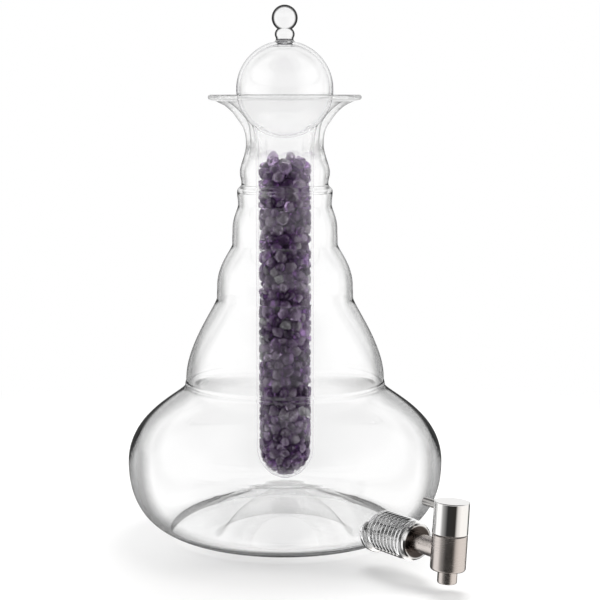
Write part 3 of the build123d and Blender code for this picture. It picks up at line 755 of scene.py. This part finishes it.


# Edge colours are painted edge shade on each glass, towards its outline; face colours are the glass's colour
# face-on
FLASK_TINT, VIAL_TINT = (0.2, 0.22, 0.22), (0.3, 0.28, 0.36)
FLASK_EDGE_SHADE, RIM_BAND, CLEAR_INDEX = grey(0.34), (0.62, 0.86), 1.08
BRIGHT_STEEL = (0.83, 0.82, 0.81)
flask_glass = glass("flask_glass", FLASK_TINT, FLASK_EDGE_SHADE, ripple=0.02, band=(0.56, 0.76))
flare_glass = glass("flare_glass", FLASK_TINT, FLASK_EDGE_SHADE, band=RIM_BAND, outline=0.25,
                    clear=[(FLARE_FROM, 0.0), (FLARE_OPEN, 0.95), (LIP_FROM, 0.95)])
lip_glass = glass("lip_glass", FLASK_TINT, FLASK_EDGE_SHADE, band=RIM_BAND, of_radius=True,
                  clear=[(0.06, 0.96), (0.063, 0.9), (0.066, 0.55), (0.067, 0.5)])
base_glass = glass("base_glass", FLASK_TINT, grey(0.7), density=1.0, outline=0.55,
                   clear=[(0.0, 0.8), (BASE_TO, 0.8)])
# The thread's glass is grey face-on and nearly black edge-on: painted shade on its ridges
thread_painted_shade_glass = glass("thread_painted_shade_glass", FLASK_TINT, grey(0.06), grey(0.5), ripple=0.05, band=(0.25, 0.75))
vial_glass = glass("vial_glass", VIAL_TINT, (0.22, 0.22, 0.24), ripple=0.01, band=(0.68, 0.86))
# The knob's glass has a painted dark rim and a nearly black painted edge shade
knob_painted_rim_glass = glass("knob_painted_rim_glass", VIAL_TINT, grey(0.06), band=(0.4, 0.6), black=(0.34, 0.5))
seat_glass = glass("seat_glass", VIAL_TINT, (0.8, 0.8, 0.82), index=CLEAR_INDEX)
tube_glass = glass("tube_glass", VIAL_TINT, (0.66, 0.63, 0.7), index=CLEAR_INDEX)
amethyst = gem("amethyst", [
    (0.0, (0.03, 0.008, 0.06)), (0.3, (0.3, 0.12, 0.42)), (0.55, (0.66, 0.42, 0.82)),
    (0.8, (0.9, 0.72, 1.0)), (0.96, (0.95, 0.86, 1.0)), (1.0, (0.75, 0.72, 0.66)),
], transmission=0.84, rough=0.01)
crystal = gem("crystal", [
    (0.0, (0.9, 0.88, 0.94)), (0.7, (0.98, 0.96, 1.0)), (1.0, (0.76, 0.82, 0.76)),
], transmission=0.8, rough=0.02)
polished = metal("polished_steel", BRIGHT_STEEL, (0.03, 0.12), ROUND_LINES, POLISHED_BUMP)
satin = metal("satin_steel", (0.60, 0.55, 0.52), (0.2, 0.42), SATIN_LINES, 0.12)
# The lever's steel is a darker copy of the polished steel: painted shade for its dark reflections
lever_painted_shade_steel = metal("lever_painted_shade_steel", (0.42, 0.41, 0.4), (0.03, 0.1), ACROSS_LINES, POLISHED_BUMP)
flange_painted_shade_steel = painted_dish_shade("flange_painted_shade_steel", BRIGHT_STEEL, (0.06, 0.05, 0.045))
silicone = soft("silicone", (0.78, 0.78, 0.77), rough=0.4, see=0.5)
rubber = soft("seal_rubber", (0.03, 0.03, 0.032), rough=0.5, see=0.0)
plastic = soft("valve_plastic", (0.86, 0.86, 0.84), rough=0.35, see=0.0)

finishes = {
    "flask_glass": flask_glass, "vial_glass": vial_glass, "purple_stone": amethyst, "clear_stone": crystal,
    "silicone": silicone, "polished_steel": polished, "satin_steel": satin, "valve_plastic": plastic,
    "seal_rubber": rubber,
}
for row in frame["record"]["subparts"]:
    mesh = nodes[row["node"]].data
    mesh.materials.clear()
    mesh.materials.append(finishes[row["material_slot"]])
# The flange gets steel with painted shade in its dish
nodes["tap_flange"].data.materials[0] = flange_painted_shade_steel
# Painted shade: the lever gets the darker copy of the polished steel
nodes["lever"].data.materials[0] = lever_painted_shade_steel

foot_line = foot()[::-1]


def flask_part(face):
    """1 on the flare, 2 on the lip, 3 on the base, 4 on the outlet, else 0"""
    spot, reach = face.center, face.center.xy.length
    if spot.z > FLARE_FROM:
        return 2 if spot.z > LIP_FROM else 1
    if spot.z > BULB_Z * MM:
        return 0
    if reach > np.interp(spot.z / MM, foot_line[:, 1], foot_line[:, 0]) * MM + OUTLET_CLEAR:
        return 4
    return 3 if spot.z < BASE_TO and reach < BASE_REACH else 0


def vial_part(face):
    """1 on the gem tube, 2 where the ball joins it, 3 on the knob, else 0"""
    if face.center.z < TUBE_TO:
        return 1
    if face.center.z < SEAT_TO:
        return 2
    return 3 if face.center.z > KNOB_FROM else 0


made_pieces = [
    (flask, "flask", "flask_glass", (
        "flask_mouth", "flask_neck", "flask_bell", "flask_shoulder", "flask_bulb", "flask_bowl",
        "flask_base", "outlet_neck",
    )),
    (vial, "vial", "vial_glass", ("ball_head", "knob", "vial_shoulder", "vial_tube")),
    (purple, "vial", "purple_stone", ("purple_chips",)),
    (clear, "vial", "clear_stone", ("clear_chips",)),
]
more_glass = {
    "flask_glass": ((flare_glass, lip_glass, base_glass, thread_painted_shade_glass), flask_part),
    "vial_glass": ((tube_glass, seat_glass, knob_painted_rim_glass), vial_part),
}
for piece, body, slot_name, stood_for in made_pieces:
    piece.data.materials.clear()
    piece.data.materials.append(finishes[slot_name])
    if slot_name in more_glass:
        others, part_of = more_glass[slot_name]
        for other in others:
            piece.data.materials.append(other)
        faces = piece.data.polygons
        faces.foreach_set("material_index", [part_of(face) for face in faces])
    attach(piece, body)
    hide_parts(*stood_for)

# Camera at the photograph's place: on a circle round the flask, tilted down and turned a little right
CAMERA_TURN, CAMERA_FAR, CAMERA_HIGH = radians(-36.0), 1.370, 0.388
CAMERA_TILT, CAMERA_PAN, CAMERA_LENS, CAMERA_SENSOR = radians(-7.43), radians(0.556), 93.42, 36.0
camera = new_object("camera", bpy.data.cameras.new("camera"))
camera.data.sensor_width, camera.data.lens = CAMERA_SENSOR, CAMERA_LENS
camera.location = (CAMERA_FAR * sin(CAMERA_TURN), -CAMERA_FAR * cos(CAMERA_TURN), CAMERA_HIGH)
camera.rotation_euler = (pi / 2 + CAMERA_TILT, 0, CAMERA_TURN - CAMERA_PAN)
bpy.context.scene.camera = camera

# Floor: lit and shaded near the object, the backdrop's white further out, and not there in reflections
FLOOR_HALF, FLOOR_DROP, FLOOR_COLOUR, FLOOR_LIFT = 3.0, 0.0004, 0.46, 0.34
FADE = (0.35, 0.75)
WHITE = (1, 1, 1, 1)


def seen_rays(tree):
    """1 for what the camera sees directly, in metal or through glass"""
    path = tree.nodes.new("ShaderNodeLightPath")
    total = path.outputs["Is Camera Ray"]
    for name in ("Is Glossy Ray", "Is Transmission Ray"):
        total = calc(tree, "MAXIMUM", total, path.outputs[name])
    return total


def floor_material():
    look = bpy.data.materials.new("floor")
    look.use_nodes = True
    tree = look.node_tree
    tree.nodes.clear()
    seen = seen_rays(tree)
    diffuse = put(tree, "ShaderNodeBsdfDiffuse", Color=(*grey(FLOOR_COLOUR), 1)).outputs[0]
    white = put(tree, "ShaderNodeEmission", Color=WHITE, Strength=1.0).outputs[0]
    lift = put(tree, "ShaderNodeEmission", Color=WHITE, Strength=calc(tree, "MULTIPLY", seen, FLOOR_LIFT))
    near = by_order(tree, tree.nodes.new("ShaderNodeAddShader"), diffuse, lift.outputs[0])
    far = shader_mix(tree, seen, diffuse, white)
    fade = spread(tree, reach_in(tree, (1, 1, 1)), FADE, kind="SMOOTHSTEP")
    whole = shader_mix(tree, fade, near, far)
    glossy = tree.nodes.new("ShaderNodeLightPath").outputs["Is Glossy Ray"]
    nothing = tree.nodes.new("ShaderNodeBsdfTransparent").outputs[0]
    put(tree, "ShaderNodeOutputMaterial", Surface=shader_mix(tree, glossy, whole, nothing))
    return look


floor_signs = ((-1, -1), (1, -1), (1, 1), (-1, 1))
floor_corners = [(x * FLOOR_HALF, y * FLOOR_HALF, -FLOOR_DROP) for x, y in floor_signs]
floor = new_object("floor", new_mesh("floor", floor_corners, [(0, 1, 2, 3)]))
floor.data.materials.append(floor_material())

# World: white to the eye. Reflections show the bands of STUDIO, a white ceiling and a dark patch overhead,
# what is seen through glass shows BEHIND, and SHADE lights the rest. Bands run once round the object from
# behind it, so that 0.5 is at the camera
CEILING, OVERHEAD, OVERHEAD_COLOUR = (0.03, 0.15), (0.55, 0.75), (0.04, 0.04, 0.04, 1)
DIM, UNLIT, COOL, WARM = grey(0.5), grey(0.08), grey(1.1), (1.1, 1.08, 1.06)
SHADE = [
    (0.0, DIM), (0.12, DIM), (0.2, COOL), (0.3, COOL), (0.4, UNLIT), (0.58, UNLIT),
    (0.66, WARM), (0.8, WARM), (0.88, DIM), (1.0, DIM),
]
GAP, BOX = grey(0.1), grey(1.2)
STUDIO = [
    (0.0, GAP), (0.165, GAP), (0.19, BOX), (0.29, BOX), (0.33, grey(0.45)), (0.42, grey(0.035)),
    (0.56, (0.035, 0.033, 0.03)), (0.6, (0.85, 0.82, 0.79)), (0.67, (1.15, 1.12, 1.09)),
    (0.84, (1.15, 1.13, 1.1)), (0.875, GAP), (1.0, GAP),
]
BACK, GREY, FRONT, SIDE = grey(1), grey(0.45), grey(0.05), grey(1.15)
BEHIND = [
    (0.0, BACK), (0.12, BACK), (0.135, GREY), (0.165, GREY), (0.19, SIDE), (0.3, SIDE), (0.42, FRONT),
    (0.56, FRONT), (0.64, SIDE), (0.82, SIDE), (0.845, GREY), (0.865, GREY), (0.885, BACK), (1.0, BACK),
]
world = bpy.data.worlds.new("studio")
bpy.context.scene.world = world
world.use_nodes = True
sky = world.node_tree
sky.nodes.clear()
way = sky.nodes.new("ShaderNodeTexCoord").outputs["Generated"]
way = put(sky, "ShaderNodeMapping", Vector=way, Rotation=(0, 0, -CAMERA_TURN)).outputs["Vector"]
across, along, up = put(sky, "ShaderNodeSeparateXYZ", Vector=way).outputs
around = spread(sky, calc(sky, "ARCTAN2", across, calc(sky, "MULTIPLY", along, -1)), (-pi, pi))
path = sky.nodes.new("ShaderNodeLightPath")
sides = mixed(sky, spread(sky, up, CEILING), ramp(sky, around, STUDIO), WHITE)
sides = mixed(sky, spread(sky, up, OVERHEAD), sides, OVERHEAD_COLOUR)
through_glass = mixed(sky, path.outputs["Is Transmission Ray"], sides, ramp(sky, around, BEHIND))
to_eye = mixed(sky, path.outputs["Is Camera Ray"], through_glass, WHITE)
colour = mixed(sky, seen_rays(sky), ramp(sky, around, SHADE), to_eye)
background = put(sky, "ShaderNodeBackground", Color=colour, Strength=1.0)
put(sky, "ShaderNodeOutputWorld", Surface=background.outputs[0])

LAMP_AIM = Vector((0, 0, 0.2))


def lamp(name, bearing, far, high, size, power, colour):
    """Soft box that faces the object, at a bearing in degrees from the camera"""
    data = bpy.data.lights.new(name, "AREA")
    data.shape, data.size, data.size_y = "RECTANGLE", *size
    data.energy, data.color = power, colour
    obj = new_object(name, data)
    turn = CAMERA_TURN + radians(bearing)
    obj.location = (far * sin(turn), -far * cos(turn), high)
    obj.rotation_mode = "QUATERNION"
    obj.rotation_quaternion = (LAMP_AIM - obj.location).to_track_quat("-Z", "Y")
    obj.visible_camera = obj.visible_glossy = obj.visible_transmission = False


lamp("soft_left", bearing=-95, far=1.3, high=0.55, size=(0.5, 1.1), power=12.0, colour=(1, 1, 1))
lamp("soft_right", bearing=80, far=1.3, high=0.55, size=(0.5, 1.1), power=11.0, colour=(1, 0.98, 0.96))
lamp("soft_top", bearing=165, far=0.6, high=1.3, size=(0.7, 0.7), power=22.0, colour=(1, 1, 1))

bpy.context.scene.view_settings.view_transform = "Standard"
